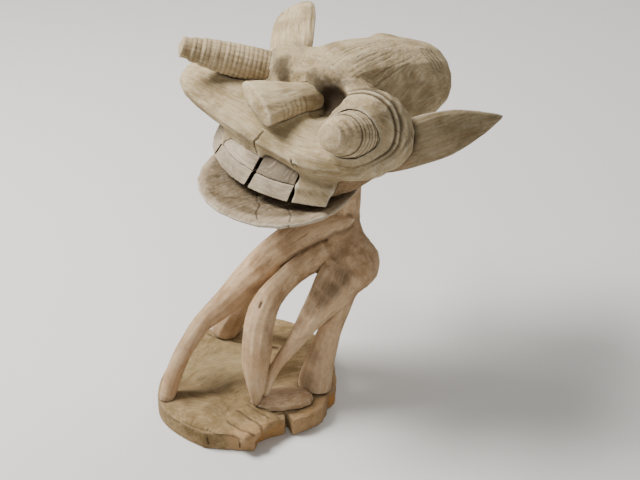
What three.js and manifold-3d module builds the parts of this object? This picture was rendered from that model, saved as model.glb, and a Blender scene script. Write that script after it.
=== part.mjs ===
// Crouching spirit figure carved from one weathered root, about 310 mm tall.
// Millimetres, +Z up. The origin is the centre of the underside of the base, the face looks
// along -Y, and the figure's own left side is +X. The carving is divided at the creases that the
// carver cut, so each limb, tooth, eye and ear is a solid of its own.
import * as THREE from 'three';
import { mergeVertices } from 'three/addons/utils/BufferGeometryUtils.js';
import Module from 'manifold-3d';

const wasm = await Module();
wasm.setup();

// ---------------------------------------------------------------- driving dimensions

const GAP = 0.3; // clearance left wherever two pieces meet
const MERGE = 0.1; // vertices nearer than this after a cut are joined

const BASE_TOP = 17; // height of the flat top of the base
const HAND_TOP = 19.5; // height of the hands carved on the base

// Arc of the front of the teeth. It leans in and turns a little with height: mm and degrees per mm.
const MOUTH = { x: -2, y: 112, floor: 213, radius: 113, lean: 0.52, skew: 0.15 };
const TOOTH_DEPTH = 13;
const LOWER_TOOTH_TOP = 224.5;
const UPPER_TOOTH_TOP = 246;

const LIP = { x: 8, y: 44, z: 207, radius: 79, thickness: 9 };
const LIP_CUT_ANGLE = THREE.MathUtils.degToRad(25); // direction in which the lip is cut short
const LIP_CUT_DEPTH = 0.3;
const EYE_TERRACES = 9;
const TERRACE_WIDTH = 0.72; // share of each step that is flat, the rest slopes to the next
const EYE_SIDES = 18;
const EYE_BLUNTNESS = 2.6; // how late along its length an eye narrows
// how far the smooth cutter round an eye clears its terraces, as a share of its radius
const ENVELOPE_MARGIN = 0.05;
const FINGER_COUNT = 4;
const FINGER_PITCH = 10.5;
const FINGER_ROOT = 24; // x where the fingers leave the palm

// ---------------------------------------------------------------- materials

function wood(name, colour, roughness) {
  const material = new THREE.MeshStandardMaterial({ color: colour, roughness, metalness: 0 });
  material.name = name;
  return material;
}

const paleWood = wood('weathered_wood', 0xb7a183, 0.86);
const baseWood = wood('root_base_wood', 0xa38f6d, 0.92);
const lipWood = wood('lip_wood', 0x8d7d63, 0.92);
const toothWood = wood('tooth_wood', 0xa19384, 0.8);
const darkWood = wood('mouth_wood', 0x7a6248, 0.95);

// ---------------------------------------------------------------- solids

const vector = (x, y, z) => new THREE.Vector3(x, y, z);

// Six times the volume that the triangles enclose, negative when they face inwards.
function signedVolume(position, index) {
  const [a, b, c] = [vector(0, 0, 0), vector(0, 0, 0), vector(0, 0, 0)];
  let sum = 0;
  for (let i = 0; i < index.count; i += 3) {
    a.fromBufferAttribute(position, index.getX(i));
    b.fromBufferAttribute(position, index.getX(i + 1));
    c.fromBufferAttribute(position, index.getX(i + 2));
    sum += a.dot(b.cross(c));
  }
  return sum;
}

function toSolid(geometry) {
  geometry.deleteAttribute('normal');
  geometry.deleteAttribute('uv');
  const merged = mergeVertices(geometry, 1e-4);
  const triangles = Uint32Array.from(merged.index.array);
  if (signedVolume(merged.attributes.position, merged.index) < 0) {
    triangles.reverse();
  }
  return new wasm.Manifold(new wasm.Mesh({
    numProp: 3,
    vertProperties: Float32Array.from(merged.attributes.position.array),
    triVerts: triangles,
  }));
}

function toGeometry(solid) {
  const mesh = solid.getMesh();
  const geometry = new THREE.BufferGeometry();
  geometry.setAttribute('position', new THREE.BufferAttribute(mesh.vertProperties, 3));
  geometry.setIndex(new THREE.BufferAttribute(mesh.triVerts, 1));
  geometry.computeVertexNormals();
  return geometry;
}

function largestPiece(solid) {
  const pieces = solid.decompose();
  pieces.sort((a, b) => b.volume() - a.volume());
  return pieces[0];
}

// Moves every vertex of a geometry by a function of its position.
function reshape(geometry, move) {
  const position = geometry.attributes.position;
  for (let i = 0; i < position.count; i += 1) {
    const moved = move(vector(position.getX(i), position.getY(i), position.getZ(i)));
    position.setXYZ(i, moved.x, moved.y, moved.z);
  }
  return geometry;
}

// A limb: a rounded bar that follows a smooth path through its stations. Each station is
// [x, y, z, half width along `side`, half thickness across it].
function limb(stations, { side = [1, 0, 0], rings = 14, sides = 14, blunt = 5 } = {}) {
  return (grow) => {
    const path = new THREE.CatmullRomCurve3(stations.map(([x, y, z]) => vector(x, y, z)));
    const sizes = new THREE.CatmullRomCurve3(stations.map((s) => vector(s[3], s[4], 0)));
    const sideways = vector(...side);
    const place = (p) => {
      const t = Math.acos(THREE.MathUtils.clamp(p.y, -1, 1)) / Math.PI;
      const fullness = (1 - Math.abs(2 * t - 1) ** blunt) ** (1 / blunt);
      const turn = Math.atan2(p.z, p.x);
      const along = path.getTangent(t);
      const across = sideways.clone().addScaledVector(along, -along.dot(sideways)).normalize();
      const upward = vector(0, 0, 0).crossVectors(across, along);
      const size = sizes.getPoint(t);
      const atPole = Math.abs(p.y) > 1 - 1e-6;
      const width = atPole ? 0 : (size.x + grow) * fullness;
      const thickness = atPole ? 0 : (size.y + grow) * fullness;
      return path.getPoint(t)
        .addScaledVector(across, Math.cos(turn) * width)
        .addScaledVector(upward, Math.sin(turn) * thickness)
        .addScaledVector(along, (2 * t - 1) * grow);
    };
    return toSolid(reshape(new THREE.SphereGeometry(1, sides, rings), place));
  };
}

// A rounded block: a superellipsoid whose roundness runs from 1 (ellipsoid) towards 0 (box).
function block([x, y, z], [rx, ry, rz], { roundness = 1, turn = [0, 0, 0], sides = 20, rings = 14 } = {}) {
  return (grow) => {
    const rotation = new THREE.Euler(...turn.map(THREE.MathUtils.degToRad));
    const swell = (c) => Math.sign(c) * Math.abs(c) ** roundness;
    const place = (p) => vector(swell(p.x) * (rx + grow), swell(p.y) * (ry + grow), swell(p.z) * (rz + grow))
      .applyEuler(rotation)
      .add(vector(x, y, z));
    const sphere = new THREE.SphereGeometry(1, sides, rings).rotateX(Math.PI / 2);
    return toSolid(reshape(sphere, place));
  };
}

// A flat plate on the base: an outline in plan between two heights.
function plate(outline, bottom, top) {
  return (grow) => {
    const geometry = new THREE.ExtrudeGeometry(outline, {
      depth: top - bottom + 2 * grow,
      bevelEnabled: grow > 0,
      bevelThickness: 1e-3,
      bevelSize: grow,
      bevelSegments: 1,
      curveSegments: 6,
    });
    return toSolid(geometry.translate(0, 0, bottom - grow));
  };
}

// ---------------------------------------------------------------- base and hands

// Plan of the base: round at the front, far side and back, broken off along the near side.
function baseOutline() {
  const outline = new THREE.Shape();
  outline.moveTo(28, -76);
  outline.splineThru([
    new THREE.Vector2(-6, -82),
    new THREE.Vector2(-38, -74),
    new THREE.Vector2(-66, -42),
    new THREE.Vector2(-82, 0),
    new THREE.Vector2(-84, 44),
    new THREE.Vector2(-62, 74),
    new THREE.Vector2(-30, 87),
    new THREE.Vector2(4, 83),
    new THREE.Vector2(28, 72),
    new THREE.Vector2(46, 58),
  ]);
  outline.lineTo(56, 47);
  outline.lineTo(59, 36);
  outline.lineTo(69, 21);
  outline.lineTo(70, 3);
  outline.lineTo(66, -10);
  outline.lineTo(50, -5);
  outline.lineTo(60, -13);
  outline.lineTo(56, -25);
  outline.lineTo(53, -38);
  outline.lineTo(60, -47);
  return outline;
}

const frontHand = limb([
  [-38, -66, HAND_TOP - 6, 8, 6],
  [-16, -60, HAND_TOP - 6, 18, 6],
  [6, -50, HAND_TOP - 6, 25, 6],
  [24, -42, HAND_TOP - 6, 27, 6],
], { side: [0, 1, 0], rings: 10, sides: 12, blunt: 8 });

function finger(index) {
  const y = -54 + index * FINGER_PITCH;
  const tip = 62 - Math.abs(index - 1) * 2;
  const middle = (FINGER_ROOT + tip) / 2;
  const size = [(tip - FINGER_ROOT) / 2, FINGER_PITCH / 2 - 0.4, 4];
  return block([middle, y, HAND_TOP - 4], size, { roundness: 0.45, turn: [0, 0, 2], sides: 12, rings: 8 });
}

const rearHand = limb([
  [-79, 18, HAND_TOP - 5, 4, 5],
  [-58, 32, HAND_TOP - 5, 11, 5],
  [-34, 52, HAND_TOP - 5, 13, 5],
  [-10, 66, HAND_TOP - 5, 12, 5],
], { side: [0, 1, 0], rings: 10, sides: 10 });

// ---------------------------------------------------------------- limbs and body

const neck = limb([
  [14, 88, 150, 19, 19],
  [14, 90, 172, 19, 18],
  [14, 91, 200, 19, 18],
  [12, 94, 250, 22, 22],
], { rings: 7, sides: 12 });

const shoulders = limb([
  [-36, 82, 150, 10, 10],
  [-16, 84, 156, 16, 14],
  [6, 86, 157, 17, 14],
  [26, 88, 157, 12, 11],
], { side: [0, 1, 0], rings: 9, sides: 12 });

const torso = limb([
  [12, 88, 160, 16, 17],
  [22, 85, 146, 17, 19],
  [33, 80, 133, 19, 20],
  [42, 75, 122, 18, 20],
], { rings: 8, sides: 12 });

const haunch = block([45, 79, 126], [22, 23, 24], { sides: 12, rings: 8 });

const longArm = limb([
  [38, 86, 164, 7.5, 8],
  [22, 76, 155, 12.5, 12],
  [4, 62, 144, 17, 16],
  [-15, 42, 122, 16.5, 16],
  [-26, 20, 100, 14.5, 15],
  [-28, -3, 87, 11.5, 12],
  [-32, -26, 74, 8.5, 9],
  [-30, -42, 64, 7.8, 8],
  [-29, -55, 50, 7.8, 8],
  [-29, -63, 36, 7.8, 8],
  [-29, -69, 22, 8, 8],
  [-30, -71, 10, 8.5, 8.5],
], { rings: 22, sides: 12 });

const farArm = limb([
  [-12, 80, 152, 13, 13],
  [-20, 66, 131, 12, 12],
  [-36, 50, 99, 11.5, 12],
  [-49, 38, 69, 10.5, 11],
  [-59, 32, 45, 11.5, 12],
  [-70, 29, 24, 14, 13],
  [-73, 28, 12, 17, 14],
], { rings: 13, sides: 10 });

const shortArm = limb([
  [34, 73, 144, 13, 13],
  [23, 60, 132, 13, 13],
  [12, 44, 119, 10.5, 11],
  [8, 28, 108, 10.5, 11],
  [8, 15, 100, 11.5, 12],
  [12, 4, 93, 12.5, 13],
  [17, -5, 81, 13, 13],
  [22, -11, 67, 13, 13],
  [26, -16, 53, 11.5, 11.5],
  [30, -19, 39, 8.5, 9],
  [32, -21, 28, 5.5, 6],
  [33, -22, 17, 2.5, 2.5],
], { rings: 20, sides: 12 });

const thigh = limb([
  [44, 76, 126, 22, 24],
  [43, 62, 114, 20, 22],
  [40, 46, 97, 13.5, 16],
  [38, 31, 82, 9.7, 11],
  [36, 20, 69, 7, 7.5],
  [35, 6, 58, 5.4, 6],
  [34, -4, 47, 4.8, 5],
  [34, -11, 34, 4, 4.5],
  [34, -14, 24, 3.6, 4],
], { rings: 17, sides: 12 });

const shin = block([40, 0, 17], [28, 14, 11], { roundness: 0.8, turn: [0, 0, 54], sides: 12, rings: 8 });

const calf = limb([
  [44, 33, 10, 17, 15],
  [43, 37, 27, 15, 14],
  [43, 46, 52, 12, 12],
  [45, 54, 74, 9.5, 10],
  [45, 66, 97, 9.5, 10],
  [46, 74, 112, 10, 11],
], { rings: 11, sides: 12, blunt: 8 });

// ---------------------------------------------------------------- head

const skull = limb([
  [8, 60, 270, 30, 20],
  [8, 80, 272, 42, 37],
  [8, 118, 264, 42, 41],
  [10, 165, 256, 40, 38],
  [12, 190, 253, 32, 31],
  [12, 199, 252, 26, 26],
], { rings: 13, sides: 16, blunt: 6 });

const crestKnob = block([-9, 156, 286], [11, 15, 9], { sides: 12, rings: 8 });

const muzzle = limb([
  [-124, 36, 260, 13, 12],
  [-98, 40, 258, 28, 18],
  [-52, 49, 254, 41, 20],
  [0, 54, 251, 46, 21],
  [46, 58, 248, 46, 21],
  [80, 64, 249, 32, 18],
  [98, 70, 251, 14, 12],
], { side: [0, 1, 0], rings: 14, sides: 16 });

const nose = limb([
  [12, 72, 273, 12, 12],
  [9, 50, 277, 15, 12],
  [2, 24, 281, 22, 12],
  [-1, 8, 282, 26, 11],
], { side: [0.94, 0, -0.34], rings: 10, sides: 12, blunt: 12 });

// An eye is a cone cut into round terraces, leaning out of its socket.
function eye(base, tip, { width, thickness, tipSize, side }) {
  const from = vector(...base);
  const axis = vector(...tip).sub(from);
  const along = axis.clone().normalize();
  const sideways = vector(...side);
  const across = sideways.clone().addScaledVector(along, -along.dot(sideways)).normalize();
  const upward = vector(0, 0, 0).crossVectors(across, along);
  const radiusAt = (fraction) => THREE.MathUtils.lerp(1, tipSize, fraction ** EYE_BLUNTNESS);
  return (grow) => {
    const length = axis.length() + grow;
    const profile = [new THREE.Vector2(0, -grow)];
    if (grow > 0) {
      for (const fraction of [0, 0.4, 0.75, 1]) {
        profile.push(new THREE.Vector2(radiusAt(fraction) + ENVELOPE_MARGIN, fraction * length));
      }
    } else {
      for (let i = 0; i < EYE_TERRACES; i += 1) {
        const radius = radiusAt(i / (EYE_TERRACES - 1));
        profile.push(new THREE.Vector2(radius, length * (i / EYE_TERRACES)));
        profile.push(new THREE.Vector2(radius, length * ((i + TERRACE_WIDTH) / EYE_TERRACES)));
      }
    }
    profile.push(new THREE.Vector2(0, length));
    const place = (p) => from.clone()
      .addScaledVector(across, p.x * (width / 2 + grow))
      .addScaledVector(upward, -p.z * (thickness / 2 + grow))
      .addScaledVector(along, p.y);
    return toSolid(reshape(new THREE.LatheGeometry(profile, EYE_SIDES), place));
  };
}

const LEFT_EYE_SIZE = { width: 41, thickness: 40, tipSize: 0.5, side: [1, 0, 0] };
const leftEye = eye([66, 72, 261], [87, 10, 288], LEFT_EYE_SIZE);
const RIGHT_EYE_SIZE = { width: 30, thickness: 29, tipSize: 0.6, side: [0, 0, 1] };
const rightEye = eye([-45, 70, 277], [-92, 8, 302], RIGHT_EYE_SIZE);

const LEFT_SOCKET_SHAPE = { roundness: 0.85, turn: [20, 0, 25], sides: 16, rings: 9 };
const leftSocket = block([63, 76, 261], [36, 25, 37], LEFT_SOCKET_SHAPE);
const RIGHT_SOCKET_SHAPE = { roundness: 0.85, turn: [20, 0, -35], sides: 12, rings: 8 };
const rightSocket = block([-30, 82, 268], [30, 22, 33], RIGHT_SOCKET_SHAPE);

const leftEar = limb([
  [60, 74, 228, 17, 9],
  [78, 104, 243, 23, 9],
  [96, 132, 252, 21, 7],
  [110, 156, 258, 12, 5],
  [119, 172, 262, 2, 2],
], { side: [0, 0, 1], rings: 16, sides: 12, blunt: 3 });

const rightEar = limb([
  [-36, 80, 272, 16, 9],
  [-56, 98, 282, 21, 9],
  [-78, 120, 290, 22, 8],
  [-96, 138, 292, 19, 7],
  [-103, 146, 291, 16, 5],
], { side: [0.62, 0.62, 0.48], rings: 14, sides: 12, blunt: 5 });

// One tooth of the barrel of teeth, between two angles measured from the front and two heights.
function tooth(fromDegrees, toDegrees, bottom, top) {
  return (grow) => {
    const geometry = new THREE.BoxGeometry(1, 1, 1, 3, 1, 1);
    const place = (p) => {
      const spread = (THREE.MathUtils.degToRad(toDegrees - fromDegrees) + (2 * grow) / MOUTH.radius);
      const middle = THREE.MathUtils.degToRad((toDegrees + fromDegrees) / 2);
      const z = bottom - grow + (p.z + 0.5) * (top - bottom + 2 * grow);
      const angle = middle + p.x * spread + THREE.MathUtils.degToRad(MOUTH.skew * (z - MOUTH.floor));
      const front = MOUTH.radius - MOUTH.lean * (z - MOUTH.floor) + grow;
      const radius = front - (p.y + 0.5) * (TOOTH_DEPTH + 2 * grow);
      return vector(MOUTH.x + radius * Math.sin(angle), MOUTH.y - radius * Math.cos(angle), z);
    };
    return toSolid(reshape(geometry, place));
  };
}

const jaw = block([5, 64, 224], [62, 47, 24], { roundness: 0.75, sides: 16, rings: 8 });

function lowerLip() {
  return (grow) => {
    const { radius, thickness } = LIP;
    const profile = [
      new THREE.Vector2(0, -14 - thickness - grow),
      new THREE.Vector2(radius * 0.5 + grow, -12 - thickness - grow),
      new THREE.Vector2(radius * 0.85 + grow, -thickness - grow),
      new THREE.Vector2(radius + grow, -2 - grow),
      new THREE.Vector2(radius + grow, 0 + grow),
      new THREE.Vector2(radius - 6, 1 + grow),
      new THREE.Vector2(radius * 0.5, -4 + grow),
      new THREE.Vector2(0, -5 + grow),
    ];
    const place = (p) => {
      const towardsCut = Math.max(0, Math.cos(Math.atan2(-p.z, p.x) + LIP_CUT_ANGLE));
      const reach = 1 - LIP_CUT_DEPTH * towardsCut ** 2;
      return vector(LIP.x + p.x * reach, LIP.y + p.z * reach, LIP.z + p.y);
    };
    return toSolid(reshape(new THREE.LatheGeometry(profile, 26), place));
  };
}

// ---------------------------------------------------------------- assembly

// degrees from the front, at the floor of the mouth
const TOOTH_COLUMNS = [[-54, -30], [-28.7, 0.4], [2.4, 22.7], [24.5, 39]];

const figure = new THREE.Group();
const placed = [];

// Adds one piece, cut back to a small clearance from every piece placed before it.
function place(name, recipe, material) {
  let solid = recipe(0);
  const box = new THREE.Box3(vector(...solid.boundingBox().min), vector(...solid.boundingBox().max));
  for (const earlier of placed) {
    if (earlier.box.intersectsBox(box)) {
      solid = solid.subtract(earlier.recipe(GAP));
    }
  }
  solid = largestPiece(solid).simplify(MERGE);
  placed.push({ recipe, box: box.expandByScalar(1) });
  const mesh = new THREE.Mesh(toGeometry(solid), material);
  mesh.name = name;
  figure.add(mesh);
}

place('base_slab', plate(baseOutline(), 0, BASE_TOP), baseWood);
for (let i = 0; i < FINGER_COUNT; i += 1) {
  place(`front_finger_${i + 1}`, finger(i), baseWood);
}
place('long_arm', longArm, paleWood);
place('front_hand', frontHand, baseWood);
place('far_arm', farArm, paleWood);
place('rear_hand', rearHand, baseWood);
place('short_arm', shortArm, paleWood);
place('thigh', thigh, paleWood);
place('haunch', haunch, paleWood);
place('calf', calf, paleWood);
place('shin', shin, paleWood);
place('neck', neck, paleWood);
place('shoulders', shoulders, paleWood);
place('torso', torso, paleWood);

TOOTH_COLUMNS.forEach(([from, to], i) => {
  // the last column is uncarved wood
  const material = i === TOOTH_COLUMNS.length - 1 ? paleWood : toothWood;
  place(`lower_tooth_${i + 1}`, tooth(from, to, MOUTH.floor, LOWER_TOOTH_TOP), material);
  place(`upper_tooth_${i + 1}`, tooth(from, to, LOWER_TOOTH_TOP + 1, UPPER_TOOTH_TOP), material);
});
place('nose', nose, paleWood);
place('left_eye', leftEye, paleWood);
place('right_eye', rightEye, paleWood);
place('left_ear', leftEar, paleWood);
place('right_ear', rightEar, paleWood);
place('crest_knob', crestKnob, paleWood);
place('muzzle', muzzle, paleWood);
place('left_socket', leftSocket, paleWood);
place('right_socket', rightSocket, paleWood);
place('skull', skull, paleWood);
place('lower_lip', lowerLip(), lipWood);
place('jaw', jaw, darkWood);

export default figure;
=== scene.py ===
"""Looks of the carved root spirit figure: weathered, hand-carved wood on a pale studio floor."""

import itertools
import math

import bpy
import numpy as np
import openvdb
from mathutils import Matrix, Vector


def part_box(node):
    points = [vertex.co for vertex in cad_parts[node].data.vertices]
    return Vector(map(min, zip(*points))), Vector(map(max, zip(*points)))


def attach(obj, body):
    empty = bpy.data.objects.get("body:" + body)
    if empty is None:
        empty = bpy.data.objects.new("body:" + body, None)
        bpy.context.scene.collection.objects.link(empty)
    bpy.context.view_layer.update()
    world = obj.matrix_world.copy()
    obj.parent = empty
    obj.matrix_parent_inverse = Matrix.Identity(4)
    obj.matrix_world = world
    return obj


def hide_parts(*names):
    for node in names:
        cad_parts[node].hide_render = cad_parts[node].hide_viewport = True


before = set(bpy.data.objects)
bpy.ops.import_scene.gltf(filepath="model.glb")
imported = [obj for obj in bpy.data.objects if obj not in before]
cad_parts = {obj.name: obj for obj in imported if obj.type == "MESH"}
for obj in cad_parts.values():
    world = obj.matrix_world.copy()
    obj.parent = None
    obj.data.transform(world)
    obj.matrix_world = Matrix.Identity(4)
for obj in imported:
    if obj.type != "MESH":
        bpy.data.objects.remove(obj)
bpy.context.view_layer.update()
MM = 0.001

# how finely the wood is worked, as the size of a voxel
BODY_VOXEL = 0.8 * MM
HEAD_VOXEL = 0.9 * MM
SMALL_VOXEL = 0.7 * MM
TOOTH_VOXEL = 0.5 * MM
EYE_VOXEL = 0.5 * MM
LIP_VOXEL = 0.8 * MM
JAW_VOXEL = 1.0 * MM


def spot(name, shares):
    """A place given as shares of the box of a CAD node."""
    low, high = (np.array(corner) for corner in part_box(name))
    return low + (high - low) * np.array(shares)


def smooth_step(values):
    values = np.clip(values, 0, 1)
    return values * values * (3 - 2 * values)


# ---------------------------------------------------------------- noise


def value_noise(points, seed):
    """Smooth noise from -1 to 1, one value for each point."""
    cell = np.floor(points).astype(np.int64)
    part = points - cell
    fade = part * part * (3 - 2 * part)
    total = np.zeros(len(points))
    for corner in itertools.product((0, 1), repeat=3):
        c = cell + np.array(corner)
        mixed = (c[:, 0] * 73856093) ^ (c[:, 1] * 19349663) ^ (c[:, 2] * 83492791) ^ (seed * 2654435761)
        mixed = ((mixed ^ (mixed >> 13)) * 1274126177) & 0x7FFFFFFF
        value = ((mixed ^ (mixed >> 16)) & 0xFFFF) / 65535
        weight = np.prod(np.where(corner, fade, 1 - fade), axis=1)
        total += value * weight
    return total * 2 - 1


def layered_noise(points, size, seed, octaves=3):
    """Noise whose largest features are about `size` across, with finer and weaker layers on top."""
    total, strength = np.zeros(len(points)), 1.0
    for octave in range(octaves):
        total += strength * value_noise(points / size * 2**octave, seed + octave)
        strength *= 0.5
    return total / (2 - 2 * strength)


# ---------------------------------------------------------------- fields of distance


class Clay:
    """A block of signed distances, negative inside the wood, that starts from CAD nodes."""

    def __init__(self, names, voxel, neighbours=(), band=8.0):
        """`band` is how many voxels from a surface the distances stay exact."""
        self.voxel = voxel
        self.band = band
        self.far = band * voxel
        corners = np.array([[*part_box(name)[side]] for name in names for side in (0, 1)])
        margin = (band + 2) * voxel
        self.first = np.floor((corners.min(0) - margin) / voxel).astype(int)
        last = np.ceil((corners.max(0) + margin) / voxel).astype(int)
        self.shape = tuple(last - self.first + 1)
        self.parts = {name: self.node(name) for name in (*names, *neighbours)}
        self.distance = None

    def node(self, name):
        """Distances to one CAD node, over this block."""
        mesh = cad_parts[name].data
        mesh.calc_loop_triangles()
        points = np.empty(len(mesh.vertices) * 3, np.float32)
        mesh.vertices.foreach_get("co", points)
        triangles = np.empty(len(mesh.loop_triangles) * 3, np.int32)
        mesh.loop_triangles.foreach_get("vertices", triangles)
        grid = openvdb.FloatGrid.createLevelSetFromPolygons(
            points.reshape(-1, 3).astype(np.float64),
            triangles=triangles.reshape(-1, 3).astype(np.uint32),
            transform=openvdb.createLinearTransform(voxelSize=self.voxel),
            halfWidth=self.band,
        )
        values = np.full(self.shape, self.far, np.float32)
        grid.copyToArray(values, ijk=tuple(int(i) for i in self.first))
        return values

    def join(self, names, blend):
        """Adds nodes, melting each into the wood over the length `blend`."""
        for name in names:
            new = self.parts[name]
            if self.distance is None:
                self.distance = new.copy()
                continue
            gap = np.maximum(blend - np.abs(self.distance - new), 0) / blend
            gap[np.maximum(self.distance, new) > 0.99 * self.far] = 0
            self.distance = np.minimum(self.distance, new) - gap * gap * blend / 4
        return self

    def carve(self, hollow, blend):
        """Takes a hollow, given as distances over the block, out of the wood."""
        gap = np.maximum(blend - np.abs(self.distance + hollow), 0) / blend
        self.distance = (np.maximum(self.distance, -hollow) + gap * gap * blend / 4).astype(np.float32)
        return self

    def scoop(self, start, end, radius, blend):
        """Hollows out a round-ended trough between two places."""
        axes = [(np.arange(n) + first) * self.voxel for n, first in zip(self.shape, self.first)]
        x, y, z = np.meshgrid(*axes, indexing="ij", sparse=True)
        along = end - start
        share = (x - start[0]) * along[0] + (y - start[1]) * along[1] + (z - start[2]) * along[2]
        share = np.clip(share / max(along @ along, 1e-12), 0, 1)
        gaps = [axis - start[k] - share * along[k] for k, axis in enumerate((x, y, z))]
        return self.carve(np.sqrt(gaps[0] ** 2 + gaps[1] ** 2 + gaps[2] ** 2) - radius, blend)

    def sample(self, values, points):
        """The values of a block array at points, to the nearest voxel."""
        index = np.rint(points / self.voxel).astype(int) - self.first
        index = np.clip(index, 0, np.array(self.shape) - 1)
        return values[index[:, 0], index[:, 1], index[:, 2]]

    def skin(self):
        """The surface of the wood as a Skin."""
        grid = openvdb.FloatGrid(self.far)
        grid.transform = openvdb.createLinearTransform(voxelSize=self.voxel)
        grid.copyFromArray(self.distance, ijk=tuple(int(i) for i in self.first))
        points, quads = grid.convertToQuads(isovalue=0.0)
        return Skin(np.array(points, float), np.array(quads, np.int64))


# the hollow mark is painted shade in creases, grooves, gaps and recesses; the other marks are the wood's own
# colours
MARKS = ("streak", "hollow", "worn", "stain", "warm", "raw")


class Skin:
    """A closed surface of four-sided faces that is worked on as arrays."""

    def __init__(self, points, quads):
        self.points = points
        self.quads = quads
        if self.volume() < 0:
            self.quads = quads[:, ::-1].copy()
        self.start = self.quads.ravel()
        self.end = np.roll(self.quads, -1, axis=1).ravel()
        self.valence = np.maximum(np.bincount(self.start, minlength=len(points)), 1)
        self.relief = np.zeros(len(points))
        self.wander = None
        self.fibre = points
        self.marks = {name: np.zeros(len(points)) for name in MARKS}

    def volume(self):
        a, b, c, d = (self.points[self.quads[:, i]] for i in range(4))
        return np.einsum("ij,ij->", a, np.cross(b, c)) + np.einsum("ij,ij->", a, np.cross(c, d))

    def average(self, values):
        """Mean over each point's neighbours."""
        size = len(self.points)
        if values.ndim == 1:
            return np.bincount(self.start, values[self.end], size) / self.valence
        columns = [np.bincount(self.start, values[self.end, k], size) for k in range(values.shape[1])]
        return np.stack(columns, 1) / self.valence[:, None]

    def relax(self, times, share=0.5):
        for _ in range(times):
            self.points = self.points + share * (self.average(self.points) - self.points)
        return self

    def blur(self, values, times):
        for _ in range(times):
            values = 0.5 * values + 0.5 * self.average(values)
        return values

    def normals(self):
        a, b, c, d = (self.points[self.quads[:, i]] for i in range(4))
        face = np.cross(c - a, d - b)
        size = len(self.points)
        total = np.stack([np.bincount(self.start, np.repeat(face[:, k], 4), size) for k in range(3)], 1)
        return total / np.maximum(np.linalg.norm(total, axis=1, keepdims=True), 1e-12)

    def bulge(self, times):
        """How far each point stands out of its smoothed surroundings, in metres."""
        smooth = self.points
        for _ in range(times):
            smooth = smooth + 0.5 * (self.average(smooth) - smooth)
        return np.einsum("ij,ij->i", self.points - smooth, self.normals())

    def reach(self, line):
        """Distance from every point to a line of places; far points only get a large number."""
        result = np.full(len(self.points), 1.0)
        margin = 12 * MM
        inside = np.all((self.points > line.min(0) - margin) & (self.points < line.max(0) + margin), axis=1)
        near, best = self.points[inside], result[inside]
        for a, b in zip(line, line[1:]):
            along = b - a
            share = np.clip((near - a) @ along / max(along @ along, 1e-12), 0, 1)
            best = np.minimum(best, np.linalg.norm(near - a - share[:, None] * along, axis=1))
        result[inside] = best
        return result

    def trail(self, name, stops, steps=6):
        """A line over the surface through places given as shares of the box of a node."""
        anchors = [spot(name, stop) for stop in stops]
        line = [a + (b - a) * step / steps for a, b in zip(anchors, anchors[1:]) for step in range(steps)]
        line.append(anchors[-1])
        return np.array([self.points[np.argmin(((self.points - place) ** 2).sum(1))] for place in line])

    def mark(self, name, values):
        self.marks[name] = np.maximum(self.marks[name], values)

    def wobble(self):
        """How much narrower than drawn a knife line is at each point."""
        if self.wander is None:
            self.wander = 1 + 0.3 * layered_noise(self.points, 6 * MM, 5, 2)
        return self.wander

    def score(self, name, stops, width=0.9, depth=0.7, dark=0.8, mark="hollow"):
        """A knife line: a groove whose bottom is darkened by the mark, by default painted shade. Sizes are in mm.
        """
        reach = self.reach(self.trail(name, stops)) / MM * self.wobble()
        self.relief -= depth * MM * np.exp(-((reach / width) ** 2))
        self.mark(mark, dark * np.exp(-((reach / (width * 1.25)) ** 2)))

    def blot(self, name, place, size, strength, mark="hollow", ragged=0.5):
        """A soft ragged patch of a mark round a place, by default painted shade. The size is in mm."""
        reach = np.linalg.norm(self.points - spot(name, place), axis=1) / (size * MM)
        near = reach < 2
        edge = 1.15 - reach[near] + 0.6 * ragged * layered_noise(self.points[near], size * 0.35 * MM, 9, 3)
        patch = np.zeros(len(reach))
        patch[near] = strength * smooth_step(1.4 * edge)
        self.mark(mark, patch)

    def ring(self, middle, axis, radius, width, depth, dark, where):
        """A round groove about an axis, with painted shade in it. `radius` may differ from point to point. Sizes
        are in mm.
        """
        offset = self.points - middle
        radial = np.linalg.norm(offset - (offset @ axis)[:, None] * axis, axis=1) / MM
        shape = np.exp(-(((radial - radius) / width) ** 2)) * where
        self.relief -= depth * MM * shape
        self.mark("hollow", dark * shape)

    def seam(self, clay, one, other, width=1.2, depth=0.7, dark=0.6):
        """A crease where two nodes meet, with painted shade along it. Sizes are in mm."""
        gap = sum(np.abs(clay.sample(clay.parts[node], self.points)) for node in (one, other))
        shape = np.exp(-((gap / (width * MM)) ** 2))
        self.relief -= depth * MM * shape
        self.mark("hollow", dark * shape)

    def shade_near(self, clay, name, spread, strength, mark="hollow"):
        """Darkens the wood close to a node."""
        gap = np.maximum(clay.sample(clay.parts[name], self.points), 0)
        self.mark(mark, strength * np.exp(-gap / (spread * MM)))

    def emboss(self):
        """Turns the relief into geometry; nothing goes below the floor."""
        self.points = self.points + self.normals() * self.relief[:, None]
        self.points[:, 2] = np.maximum(self.points[:, 2], 0)
        return self

    def build(self, name, material):
        mesh = bpy.data.meshes.new(name)
        mesh.vertices.add(len(self.points))
        mesh.vertices.foreach_set("co", self.points.ravel())
        mesh.loops.add(self.quads.size)
        mesh.loops.foreach_set("vertex_index", self.quads.ravel())
        mesh.polygons.add(len(self.quads))
        mesh.polygons.foreach_set("loop_start", np.arange(len(self.quads)) * 4)
        mesh.update(calc_edges=True)
        mesh.polygons.foreach_set("use_smooth", np.ones(len(self.quads), bool))
        for mark, values in self.marks.items():
            layer = mesh.attributes.new(mark, "FLOAT", "POINT")
            layer.data.foreach_set("value", values.astype(np.float32))
        mesh.attributes.new("fibre", "FLOAT_VECTOR", "POINT").data.foreach_set("vector", self.fibre.ravel())
        mesh.materials.append(material)
        piece = bpy.data.objects.new(name, mesh)
        bpy.context.scene.collection.objects.link(piece)
        return piece


# ---------------------------------------------------------------- grain


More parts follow.
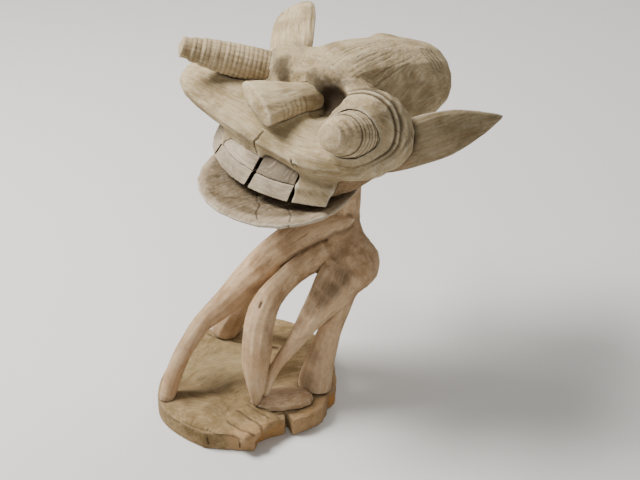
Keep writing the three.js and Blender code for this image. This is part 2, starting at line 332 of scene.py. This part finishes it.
def node_points(name):
    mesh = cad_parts[name].data
    points = np.empty(len(mesh.vertices) * 3, np.float32)
    mesh.vertices.foreach_get("co", points)
    return points.reshape(-1, 3).astype(float)


class Grain:
    """The run of the wood along one CAD node: a gently curved centre line fitted to its points."""

    DEGREE = 3

    def __init__(self, name):
        points = node_points(name)
        self.middle = points.mean(0)
        _, _, axes = np.linalg.svd(points - self.middle, full_matrices=False)
        self.axes = axes
        local = (points - self.middle) @ axes.T
        self.curves = [np.polyfit(local[:, 0], local[:, k], self.DEGREE) for k in (1, 2)]

    def coordinates(self, points):
        """(along, across, across) for each point, in metres."""
        local = (points - self.middle) @ self.axes.T
        along = local[:, 0]
        across = [local[:, k + 1] - np.polyval(curve, along) for k, curve in enumerate(self.curves)]
        return np.stack([along] + across, 1)


STRETCH = 9  # how many times longer than wide the streaks of the grain are


def grain_streaks(clay, skin, names, width, seed):
    """Streaks along the grain of whichever nodes are near, from -1 to 1. Also lays the fibre coordinates."""
    gaps = np.stack([clay.sample(clay.parts[name], skin.points) for name in names])
    weights = np.exp(-(gaps - gaps.min(0)) / (2 * MM))
    weights /= weights.sum(0)
    total = np.zeros(len(skin.points))
    skin.fibre = np.zeros((len(skin.points), 3))
    for weight, name in zip(weights, names):
        near = weight > 0.02
        local = Grain(name).coordinates(skin.points[near])
        local[:, 0] /= STRETCH
        total[near] += weight[near] * layered_noise(local, width, seed, 3)
        skin.fibre[near] += weight[near, None] * local
    return total


# ---------------------------------------------------------------- materials


class Shader:
    """A small helper that adds nodes to one material and links them."""

    def __init__(self, name):
        self.material = bpy.data.materials.new(name)
        self.material.use_nodes = True
        self.tree = self.material.node_tree
        self.surface = self.tree.nodes["Principled BSDF"]
        coordinates = self.tree.nodes.new("ShaderNodeTexCoord")
        self.place = coordinates.outputs["Object"]

    def add(self, kind, inputs=None, **settings):
        node = self.tree.nodes.new(kind)
        for key, value in settings.items():
            setattr(node, key, value)
        for key, value in (inputs or {}).items():
            self.feed(node.inputs[key], value)
        return node

    def feed(self, socket, value):
        if isinstance(value, bpy.types.NodeSocket):
            self.tree.links.new(value, socket)
        else:
            socket.default_value = value

    def noise(self, scale, detail=3.0, roughness=0.55, stretch=(1, 1, 1)):
        mapping = self.add("ShaderNodeMapping", {"Vector": self.place, "Scale": stretch})
        inputs = {"Vector": mapping.outputs[0], "Scale": scale, "Detail": detail, "Roughness": roughness}
        return self.add("ShaderNodeTexNoise", inputs).outputs[0]

    def mark(self, name):
        return self.add("ShaderNodeAttribute", attribute_name=name).outputs["Fac"]

    def fibres(self, scale, detail=3.0, roughness=0.6):
        """Noise drawn out along the grain."""
        fibre = self.add("ShaderNodeAttribute", attribute_name="fibre").outputs["Vector"]
        inputs = {"Vector": fibre, "Scale": scale, "Detail": detail, "Roughness": roughness}
        return self.add("ShaderNodeTexNoise", inputs).outputs[0]

    def ramp(self, value, low, high, to_low=0.0, to_high=1.0):
        inputs = {"Value": value, "From Min": low, "From Max": high, "To Min": to_low, "To Max": to_high}
        return self.add("ShaderNodeMapRange", inputs, clamp=True, interpolation_type="SMOOTHSTEP").outputs[0]

    def math(self, operation, a, b=0.0):
        node = self.add("ShaderNodeMath", operation=operation)
        self.feed(node.inputs[0], a)
        self.feed(node.inputs[1], b)
        return node.outputs[0]

    def mix(self, share, a, b):
        node = self.add("ShaderNodeMix", data_type="RGBA")
        self.feed(node.inputs["Factor"], share)
        self.feed(node.inputs[6], a)
        self.feed(node.inputs[7], b)
        return node.outputs[2]


def colour(code):
    """A #rrggbb colour as the linear values that Blender mixes."""
    channels = [int(code[i : i + 2], 16) / 255 for i in (1, 3, 5)]
    return (*[c / 12.92 if c <= 0.04045 else ((c + 0.055) / 1.055) ** 2.4 for c in channels], 1)


def wood(name, body, shade, bleached, crack_and_shade_dark, raw="#b07c42", warm="#bb9065", stain="#857654"):
    """Weathered wood. The marks on the mesh say where it is streaked, hollow, worn, stained or raw; the hollow mark
    is painted shade, mixed towards the darkest colour, which also darkens the fine cracks.
    """
    s = Shader(name)
    patches = s.ramp(s.noise(34, 5, 0.65), 0.42, 0.66, 0, 0.75)
    tone = s.mix(patches, colour(body), colour(shade))
    tone = s.mix(s.ramp(s.mark("worn"), 0.0, 1.0, 0, 0.75), tone, colour(bleached))
    tone = s.mix(s.ramp(s.mark("streak"), 0.1, 0.8, 0, 0.4), tone, colour(shade))
    tone = s.mix(s.ramp(s.mark("streak"), -0.1, -0.8, 0, 0.35), tone, colour(bleached))
    tone = s.mix(s.mark("stain"), tone, colour(stain))
    tone = s.mix(s.mark("warm"), tone, colour(warm))
    tone = s.mix(s.mark("raw"), tone, colour(raw))
    fine = s.fibres(650, 5, 0.7)
    tone = s.mix(s.ramp(fine, 0.5, 0.68, 0, 0.5), tone, colour(shade))
    tone = s.mix(s.ramp(fine, 0.48, 0.34, 0, 0.3), tone, colour(bleached))
    cracks = s.ramp(s.fibres(420, 2, 0.5), 0.68, 0.74, 0, 0.5)
    tone = s.mix(cracks, tone, colour(crack_and_shade_dark))
    specks = s.ramp(s.noise(800, 2, 0.7), 0.54, 0.72, 0, 0.35)
    tone = s.mix(specks, tone, colour(shade))
    dust = s.ramp(s.noise(900, 2, 0.6), 0.6, 0.8, 0, 0.3)
    tone = s.mix(dust, tone, colour(bleached))
    # painted shade: the hollow mark darkens creases, grooves, gaps and recesses towards the darkest colour
    tone = s.mix(s.mark("hollow"), tone, colour(crack_and_shade_dark))
    s.feed(s.surface.inputs["Base Color"], tone)
    s.feed(s.surface.inputs["Roughness"], s.ramp(s.mark("worn"), 0, 1, 0.9, 0.7))
    s.surface.inputs["Specular IOR Level"].default_value = 0.2
    height = s.math("SUBTRACT", s.math("MULTIPLY", s.noise(900, 3, 0.6), 0.6), fine)
    bump = s.add("ShaderNodeBump", {"Height": height, "Strength": 0.8, "Distance": 0.5 * MM})
    s.feed(s.surface.inputs["Normal"], bump.outputs[0])
    return s.material


# the fourth colour of each wood is the dark of its cracks and of its painted shade; the jaw's and the teeth's are
# near black for the painted shade in the gaps between the teeth
LIMB_WOOD = wood("limb_wood", "#c6a681", "#8f6e4c", "#e4d1b3", "#2f1d0e")
HEAD_WOOD = wood("head_wood", "#b7a37f", "#7f6b49", "#dccfb4", "#221508")
EYE_WOOD = wood("eye_wood", "#b7a27f", "#7f6b4a", "#d8cab0", "#2f200f")
BASE_WOOD = wood("base_wood", "#99815d", "#65502f", "#bda683", "#22160b")
LIP_WOOD = wood("lip_wood", "#a8957a", "#77654b", "#d6c9b2", "#21150a", stain="#5d4c33")
TOOTH_WOOD = wood("tooth_wood", "#b3a38a", "#83745f", "#cfc1ab", "#120c07", stain="#655848")
JAW_WOOD = wood("jaw_wood", "#8a7050", "#634a30", "#b0967a", "#0d0804")

# ---------------------------------------------------------------- pieces


def finish_piece(skin, name, material, nodes, wear=2.0):
    """Paints shade into the hollows and marks worn edges, builds the piece, puts it under the root body and hides
    its CAD nodes.
    """
    out = skin.blur(skin.bulge(12), 2) / MM
    skin.mark("worn", np.clip(out * wear, 0, 1))
    # painted shade in the hollows of the surface
    skin.mark("hollow", np.clip(-out * 2.0 - 0.1, 0, 0.85))
    piece = skin.build(name, material)
    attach(piece, "root")
    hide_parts(*nodes)
    return piece


def weather(clay, skin, names, seed, grain=0.35, lumps=0.6, width=3.0):
    """Relief of hand-carved weathered wood: grain ridges and shallow lumps. Sizes are in mm."""
    streaks = grain_streaks(clay, skin, names, width * MM, seed)
    skin.marks["streak"] = streaks
    skin.relief -= grain * MM * np.clip(streaks, -0.2, 1)
    skin.relief += lumps * MM * layered_noise(skin.points, 22 * MM, seed + 7, 2)


TRUNK = ["torso", "haunch", "thigh", "neck", "shoulders"]
LIMBS = ["calf", "long_arm", "far_arm", "short_arm"]


def build_body():
    clay = Clay(TRUNK + LIMBS, BODY_VOXEL, ["shin", "base_slab"])
    clay.join(TRUNK, 7 * MM).join(LIMBS, 2 * MM)
    clay.scoop(spot("thigh", (0.88, 0.66, 1.0)), spot("thigh", (0.46, 0.34, 0.62)), 12 * MM, 6 * MM)
    skin = clay.skin().relax(5)
    weather(clay, skin, TRUNK + LIMBS, 11)
    # painted shade along the seams between the arms, the body and the thigh
    for other in ("torso", "short_arm", "shoulders", "far_arm"):
        skin.seam(clay, "long_arm", other, 2.2, 0.9, 0.6)
    skin.seam(clay, "short_arm", "thigh", 1.6, 0.6, 0.7)
    for name in ("shin", "base_slab"):
        skin.shade_near(clay, name, 2.5, 0.5)
    # knife lines and a slit in the short arm with painted shade in them
    skin.score("short_arm", [(0.46, 0.26, 0.72), (0.49, 0.23, 0.69)], 0.9, 1.2, 0.9)
    for share in (0.30, 0.55, 0.75):
        skin.score("long_arm", [(share, 0.75, 0.92), (share - 0.08, 0.66, 0.84)], 0.5, 0.4, 0.3)
    skin.score("long_arm", [(0.18, 0.05, 0.05), (0.20, 0.10, 0.18), (0.24, 0.2, 0.30)], 1.8, 0.3, 0.6, "warm")
    # dark blots of painted shade down the valley of the thigh and on the calf and the haunch
    for place, size, strength in (
        ((0.84, 0.68, 0.96), 16, 0.55),
        ((0.72, 0.58, 0.86), 16, 0.65),
        ((0.60, 0.50, 0.78), 15, 0.65),
        ((0.48, 0.43, 0.69), 13, 0.6),
        ((0.36, 0.36, 0.58), 11, 0.5),
    ):
        skin.blot("thigh", place, size, strength, ragged=0.25)
    skin.blot("calf", (0.55, 0.1, 0.45), 13, 0.35)
    skin.blot("calf", (0.5, 0.05, 0.15), 11, 0.4)
    skin.blot("haunch", (0.45, 0.1, 0.75), 9, 0.35)
    skin.blot("long_arm", (0.15, 0.1, 0.1), 16, 0.5, "warm")
    skin.blot("short_arm", (0.7, 0.15, 0.3), 18, 0.35, "warm")
    skin.blot("thigh", (0.25, 0.15, 0.3), 16, 0.5, "warm")
    skin.emboss()
    return finish_piece(skin, "limbs_and_body", LIMB_WOOD, TRUNK + LIMBS)


MIDDLE = (0.5, 0.5, 0.5)
TEETH = list(itertools.product(("upper", "lower"), (1, 2, 3, 4)))
TOOTH_NODES = [f"{row}_tooth_{column}" for row, column in TEETH]
FINGERS = [f"front_finger_{number}" for number in (1, 2, 3, 4)]


def broken_edge(skin):
    """The near side of the base is split off: slanting, rough and fresh-looking below."""
    middle = spot("base_slab", (0.49, 0.51, 1))
    offset = skin.points - middle
    outward = np.hypot(offset[:, 0], offset[:, 1])
    broken = smooth_step((skin.points[:, 0] - spot("base_slab", (0.8, 0, 0))[0]) / (8 * MM))
    broken *= smooth_step((outward / MM - 68) / 6)
    skin.relief += 1.1 * MM * broken * layered_noise(skin.points * (1, 1, 0.4), 7 * MM, 77, 3)
    return broken


# knife lines and cracks of the base: places, width, depth and darkness of the painted shade in them
BASE_LINES = (
    # between the fingers
    ([(0.76, 0.17, 1.1), (0.85, 0.175, 1.1), (0.94, 0.2, 1.1)], 0.8, 0.9, 0.65),
    ([(0.70, 0.265, 1.1), (0.80, 0.265, 1.1), (0.91, 0.27, 1.1)], 0.8, 0.9, 0.65),
    ([(0.72, 0.33, 1.1), (0.80, 0.33, 1.1), (0.88, 0.34, 1.1)], 0.7, 0.8, 0.6),
    ([(0.76, 0.38, 1.1), (0.87, 0.41, 1.0)], 0.7, 0.6, 0.5),
    # along the front rim
    ([(0.47, 0.0, 0.77), (0.65, 0.03, 0.92), (0.77, 0.08, 0.92), (0.89, 0.15, 0.9)], 0.8, 0.6, 0.4),
    # round the foot
    ([(0.88, 0.41, 1.0), (0.92, 0.47, 1.0), (0.93, 0.58, 1.0)], 1.4, 0.7, 0.6),
    # under the far arm
    ([(0.04, 0.57, 1.0), (0.15, 0.60, 1.1), (0.24, 0.65, 1.1), (0.42, 0.76, 1.1)], 1.0, 1.0, 0.7),
    # splits down the rim
    ([(0.72, 0.07, 0.9), (0.75, 0.05, 0.3)], 0.6, 0.6, 0.8),
    ([(0.89, 0.15, 0.9), (0.88, 0.15, 0.2)], 0.6, 0.6, 0.8),
)


def build_base():
    names = ["base_slab", "front_hand", "rear_hand"] + FINGERS
    clay = Clay(names, BODY_VOXEL, ["long_arm", "shin", "calf", "short_arm", "far_arm"])
    clay.join(names, 4 * MM)
    skin = clay.skin().relax(8)
    weather(clay, skin, names, 23, lumps=0.8)
    broken = broken_edge(skin)
    skin.blot("base_slab", (0.92, 0.36, 0.3), 11, 0.8, "raw")
    skin.blot("base_slab", (0.92, 0.73, 0.4), 8, 0.95, "raw")
    skin.blot("base_slab", (0.89, 0.26, 0.3), 10, 0.7, "raw")
    skin.marks["raw"] *= broken
    skin.mark("warm", 0.35 * broken)
    for stops, width, depth, dark in BASE_LINES:
        skin.score("base_slab", stops, width, depth, dark)
    # dark patches of painted shade on the top of the base
    skin.blot("base_slab", (0.40, 0.16, 1.1), 26, 0.35)
    skin.blot("base_slab", (0.44, 0.33, 1.0), 24, 0.4)
    skin.blot("base_slab", (0.62, 0.2, 1.1), 14, 0.3)
    skin.blot("base_slab", (0.35, 0.45, 1.0), 46, 0.55, "stain")
    for name in ("long_arm", "shin", "calf", "short_arm", "far_arm"):
        skin.shade_near(clay, name, 3.0, 0.4)
    skin.emboss()
    return finish_piece(skin, "root_base", BASE_WOOD, names, wear=0.9)


def skull_place(across, along):
    """A place on the top or side of the skull, as shares of its box."""
    return across, along, 0.55 + 0.45 * math.sqrt(max(0, 1 - (2 * across - 1) ** 2))


def score_skull(skin):
    """Long knife lines over the top and side of the skull, and short arcs near its back, with painted shade in
    them.
    """
    for line in range(15):
        across = 0.26 + 0.05 * line
        start = 0.08 + 0.06 * ((line * 3) % 4)
        stops = [skull_place(across - 0.02 * bend, start + 0.14 * bend) for bend in (0, 1, 2, 3)]
        skin.score("skull", stops, 0.6, 0.3, 0.3)
    for arc in range(4):
        back = 0.80 + 0.04 * arc
        arc_stops = (0.80, 0.88, 0.95, 0.98)
        stops = [skull_place(across, back + 0.25 * (across - 0.9) ** 2) for across in arc_stops]
        skin.score("skull", stops, 0.7, 0.6, 0.5)


def score_brow(skin):
    """The double groove that runs round the outer side of the near eye, with painted shade in it."""
    base, tip = spot("left_eye", (0.40, 0.87, 0.35)), spot("left_eye", (0.83, 0.03, 0.87))
    axis = (tip - base) / np.linalg.norm(tip - base)
    offset = skin.points - base
    depth = offset @ axis / MM
    upward = np.clip(offset[:, 2] / (30 * MM), -1, 1)
    outward = smooth_step((offset[:, 0] + 0.7 * offset[:, 2]) / (14 * MM) + 0.2)
    outward *= smooth_step((offset[:, 2] + 14 * MM) / (12 * MM))
    for radius, strength in ((27.0, 0.9), (29.8, 0.8), (33.0, 0.6)):
        where = outward * smooth_step((depth + 26) / 8) * strength
        skin.ring(base, axis, radius + 5 * upward, 1.0, 1.3, 0.95, where)


# mm of room that the head leaves round the pieces set into it
HEAD_CLEARANCES = {"left_eye": 0.5, "right_eye": 0.5, "nose": 0.2, "left_ear": 0.6, "right_ear": 0.3}
# how far, in mm, and how strongly painted shade darkens the head towards those pieces
HEAD_CREASES = {
    "left_eye": (2.0, 0.6),
    "right_eye": (2.5, 0.8),
    "nose": (2.0, 0.5),
    "left_ear": (4, 0.85),
    "right_ear": (2.0, 0.25),
}


def build_head():
    corner = ["upper_tooth_4", "lower_tooth_4"]
    names = ["skull", "left_socket", "right_socket", "muzzle", "crest_knob"]
    cut_teeth = [name for name in TOOTH_NODES if name not in corner]
    neighbours = corner + cut_teeth + list(HEAD_CLEARANCES) + ["jaw", "lower_lip"]
    clay = Clay(names, HEAD_VOXEL, neighbours, band=11)
    clay.join(["skull", "crest_knob"], 6 * MM).join(["right_socket"], 12 * MM).join(["left_socket"], 17 * MM)
    clay.join(["muzzle"], 7 * MM)
    clay.join(["upper_tooth_1", "upper_tooth_2"] + corner, 10 * MM)
    clay.scoop(spot("skull", (0.90, -0.04, 0.74)), spot("skull", (0.72, -0.05, 0.66)), 12 * MM, 5 * MM)
    clay.join(["left_eye"], 12 * MM).join(["right_eye"], 7 * MM).join(["nose"], 8 * MM)
    for name in cut_teeth + ["jaw", "lower_lip"]:
        clay.carve(clay.parts[name] - 0.2 * MM, 0.4 * MM)
    for name, clearance in HEAD_CLEARANCES.items():
        clay.carve(clay.parts[name] - clearance * MM, 1.5 * MM)
    skin = clay.skin().relax(4)
    weather(clay, skin, names, 31)
    score_skull(skin)
    score_brow(skin)
    # painted shade along the creases where the skull and the far socket meet the muzzle
    skin.seam(clay, "skull", "muzzle", 6, 0.8, 0.7)
    skin.seam(clay, "right_socket", "muzzle", 5, 0.8, 0.8)
    # painted shade in and beside the scooped hollow at the front of the skull, on the far socket and by the near
    # socket
    skin.blot("skull", (0.78, 0.04, 0.68), 21, 0.97)
    skin.blot("skull", (0.66, 0.02, 0.76), 15, 0.85)
    skin.blot("skull", (0.52, 0.03, 0.80), 10, 0.7)
    skin.blot("right_socket", (0.70, 0.06, 0.78), 9, 0.8)
    skin.blot("right_socket", (0.60, 0.08, 0.85), 13, 0.7)
    skin.blot("left_socket", (0.85, 0.35, 0.9), 12, 0.35)
    for name, (spread, strength) in HEAD_CREASES.items():
        skin.shade_near(clay, name, spread, strength)
    skin.blot("muzzle", (0.45, 0.16, 0.9), 26, 0.35, "stain")
    skin.blot("muzzle", (0.62, 0.15, 0.8), 24, 0.4, "stain")
    skin.blot("muzzle", (0.74, 0.4, 1.0), 22, 0.5, "stain")
    skin.blot("right_socket", (0.55, 0.3, 1.0), 24, 0.4, "stain")
    # painted shade low on the front of the muzzle
    skin.blot("muzzle", (0.5, 0.02, 0.35), 12, 0.35)
    # cracks in the muzzle with painted shade in them
    crack = [(0.59, 0.06, 0.68), (0.58, 0.02, 0.57), (0.56, 0.02, 0.42), (0.565, 0.04, 0.25)]
    skin.score("muzzle", crack, 0.7, 1.0, 0.95)
    skin.score("muzzle", [(0.75, 0.04, 0.46), (0.755, 0.06, 0.38)], 0.8, 1.0, 0.95)
    skin.score("muzzle", [(0.765, 0.05, 0.42), (0.77, 0.06, 0.38)], 0.6, 0.7, 0.8)
    for name in corner:
        skin.shade_near(clay, name, 6, 0.3)
    skin.emboss()
    return finish_piece(skin, "head", HEAD_WOOD, names + corner)


def piece_name(node):
    return node.replace("left_", "near_").replace("right_", "far_") + "_carving"


def build_single(node, voxel, material, slot, seed, relax=3, detail=None, neighbours=(), **relief):
    """One CAD node as one piece; `detail` adds its knife lines, stains and painted shade."""
    clay = Clay([node], voxel, neighbours).join([node], MM)
    skin = clay.skin().relax(relax)
    weather(clay, skin, [node], seed, **relief)
    if detail:
        detail(clay, skin)
    skin.emboss()
    return finish_piece(skin, piece_name(node), material, [node])


def nose_detail(clay, skin):
    for line in range(6):
        share = 0.24 + 0.07 * line
        skin.score("nose", [(1, share, 0.75), (0.9, share, 0.3)], 0.6, 0.35, 0.3)


def near_ear_detail(clay, skin):
    # painted shade where the ear meets the head
    skin.blot("left_ear", (0.06, 0.15, 0.35), 17, 0.75)
    skin.blot("left_ear", (0.25, 0.22, 0.25), 15, 0.5, "warm")
    for name in EAR_NEIGHBOURS:
        skin.shade_near(clay, name, 7, 0.95)
    skin.blot("left_ear", (0.9, 0.95, 0.9), 12, 0.4, "stain")


def far_ear_detail(clay, skin):
    # a patch of painted shade low on the far ear
    skin.blot("right_ear", (0.9, 0.1, 0.2), 18, 0.3)


def eye_detail(name, pitch, depth, bare, dark):
    """Rings cut round an eye, with painted shade in them, leaving the share `bare` of it at the tip plain."""

    def detail(clay, skin):
        along = Grain(name).coordinates(skin.points)[:, 0]
        if np.corrcoef(along, skin.points[:, 1])[0, 1] > 0:
            along = -along
        along = (along - along.min()) / MM
        length = along.max()
        phase = along / pitch + 0.12 * layered_noise(skin.points, 12 * MM, 17, 2)
        groove = np.exp(-(((phase % 1 - 0.5) / 0.19) ** 2))
        groove *= smooth_step((length * (1 - bare) - along) / 4)
        skin.relief -= depth * MM * groove
        skin.mark("hollow", dark * groove)

    return detail


def lip_detail(clay, skin):
    middle, rim = spot("lower_lip", (0.5, 0.5, 1)), spot("lower_lip", (1, 1, 1))
    offset = np.abs((skin.points - middle) / np.maximum(rim - middle, MM))
    share = np.hypot(offset[:, 0], offset[:, 1])
    inside = smooth_step((0.95 - share) / 0.1) * (skin.normals()[:, 2] > 0.3)
    skin.mark("stain", 0.95 * inside * (0.75 + 0.35 * layered_noise(skin.points, 9 * MM, 3, 3)))
    skin.relief += 0.9 * MM * inside * layered_noise(skin.points, 4 * MM, 81, 3)
    crack = [(0.50, 0.30, 0.8), (0.58, 0.24, 0.83), (0.63, 0.22, 0.83), (0.70, 0.14, 0.92), (0.78, 0.09, 1.0)]
    skin.score("lower_lip", crack, 0.5, 0.9, 0.8)
    skin.score("lower_lip", [(0.75, 0.31, 0.81), (0.86, 0.25, 0.85), (0.94, 0.17, 0.9)], 0.5, 0.9, 0.8)
    skin.score("lower_lip", [(0.58, 0.24, 0.83), (0.50, 0.18, 0.88), (0.46, 0.10, 0.95)], 0.5, 0.7, 0.6)
    # patches of painted shade on the lip
    skin.blot("lower_lip", (0.3, 0.27, 0.9), 16, 0.35)
    skin.blot("lower_lip", (0.55, 0.27, 0.85), 15, 0.4)
    skin.blot("lower_lip", (0.85, 0.33, 0.85), 18, 0.45)
    for row, column in TEETH:
        if row == "lower":
            skin.shade_near(clay, f"{row}_tooth_{column}", 3.5, 0.75)


def jaw_detail(clay, skin):
    """The jaw is painted black as shade where it shows between the teeth."""
    for row, column in TEETH:
        gap = clay.sample(clay.parts[f"{row}_tooth_{column}"], skin.points)
        skin.mark("hollow", smooth_step(1.6 - gap / (3.5 * MM)))


def tooth_detail(row, column):
    def detail(clay, skin):
        name = f"{row}_tooth_{column}"
        outward = skin.normals()
        # painted shade on the sides that face the neighbouring teeth
        for other in (column - 1, column + 1):
            aside = spot(f"{row}_tooth_{min(max(other, 1), 4)}", MIDDLE) - spot(name, MIDDLE)
            facing = outward @ (aside / max(np.linalg.norm(aside), MM))
            skin.mark("hollow", smooth_step((facing - 0.45) / 0.3))
        if (row, column) == ("upper", 3):
            skin.marks["stain"] += 0.75
            # painted shadow on the top of this tooth, under the muzzle
            skin.blot(name, (0.1, 0.2, 0.9), 12, 0.5)
        if (row, column) == ("upper", 2):
            skin.blot(name, (0.95, 0.2, 0.6), 13, 0.7, "stain")
        if row == "lower":
            skin.marks["stain"] += 0.25
            # painted shade low on the lower teeth
            skin.blot(name, (0.5, 0.5, 0), 10, 0.4)

    return detail


build_body()
build_base()
build_head()
HEAD_SLOT = (HEAD_WOOD, "weathered_wood")
EAR_NEIGHBOURS = ("skull", "left_socket", "muzzle")
build_single("nose", SMALL_VOXEL, *HEAD_SLOT, 40, 14, nose_detail)
build_single("left_ear", SMALL_VOXEL, *HEAD_SLOT, 41, detail=near_ear_detail, neighbours=EAR_NEIGHBOURS)
build_single("right_ear", SMALL_VOXEL, *HEAD_SLOT, 42, detail=far_ear_detail)
build_single("shin", SMALL_VOXEL, LIMB_WOOD, "weathered_wood", 43)
for eye, seed, rings in (("left_eye", 50, (4.4, 1.1, 0.27, 0.8)), ("right_eye", 51, (3.9, 0.28, 0.04, 0.3))):
    detail = eye_detail(eye, *rings)
    build_single(eye, EYE_VOXEL, EYE_WOOD, "weathered_wood", seed, 5, detail, lumps=0.3, grain=0.15)
build_single("lower_lip", LIP_VOXEL, LIP_WOOD, "lip_wood", 60, 3, lip_detail, TOOTH_NODES)
build_single("jaw", JAW_VOXEL, JAW_WOOD, "mouth_wood", 61, 3, jaw_detail, TOOTH_NODES)
for row, column in itertools.product(("upper", "lower"), (1, 2, 3)):
    tooth = f"{row}_tooth_{column}"
    build_single(tooth, TOOTH_VOXEL, TOOTH_WOOD, "tooth_wood", 70 + column, 2, tooth_detail(row, column), lumps=0.4)

# ---------------------------------------------------------------- studio


# place in metres, size in metres and power in watts
LIGHTS = {
    "key": ((-0.65, -0.45, 1.25), 0.55, 43),
    "fill": ((1.2, -0.7, 0.8), 1.2, 7),
    "back": ((-0.3, 1.1, 1.2), 0.9, 9),
}
LIGHT_TARGET = Vector((0, 0.04, 0.16))
CAMERA_PLACE = Vector((0.805, -0.645, 0.805))
CAMERA_TARGET = Vector((-0.014, 0.093, 0.116))
CAMERA_LENS = 83.1


def build_studio():
    bpy.ops.mesh.primitive_plane_add(size=6)
    floor = bpy.context.object
    floor.name = "floor"
    s = Shader("floor_paper")
    s.surface.inputs["Base Color"].default_value = colour("#d9d6d0")
    s.surface.inputs["Roughness"].default_value = 0.9
    floor.data.materials.append(s.material)
    world = bpy.data.worlds.new("studio")
    world.use_nodes = True
    world.node_tree.nodes["Background"].inputs["Color"].default_value = colour("#eef0f2")
    world.node_tree.nodes["Background"].inputs["Strength"].default_value = 0.2
    bpy.context.scene.world = world
    for name, (place, size, power) in LIGHTS.items():
        light = bpy.data.lights.new(name, "AREA")
        light.size = size
        light.energy = power
        lamp = bpy.data.objects.new(name, light)
        lamp.location = place
        lamp.rotation_euler = (LIGHT_TARGET - Vector(place)).to_track_quat("-Z", "Y").to_euler()
        bpy.context.scene.collection.objects.link(lamp)


def build_camera():
    data = bpy.data.cameras.new("camera")
    data.lens = CAMERA_LENS
    camera = bpy.data.objects.new("camera", data)
    camera.location = CAMERA_PLACE
    aim = CAMERA_TARGET - CAMERA_PLACE
    camera.rotation_euler = aim.to_track_quat("-Z", "Y").to_euler()
    bpy.context.scene.collection.objects.link(camera)
    bpy.context.scene.camera = camera


build_studio()
build_camera()
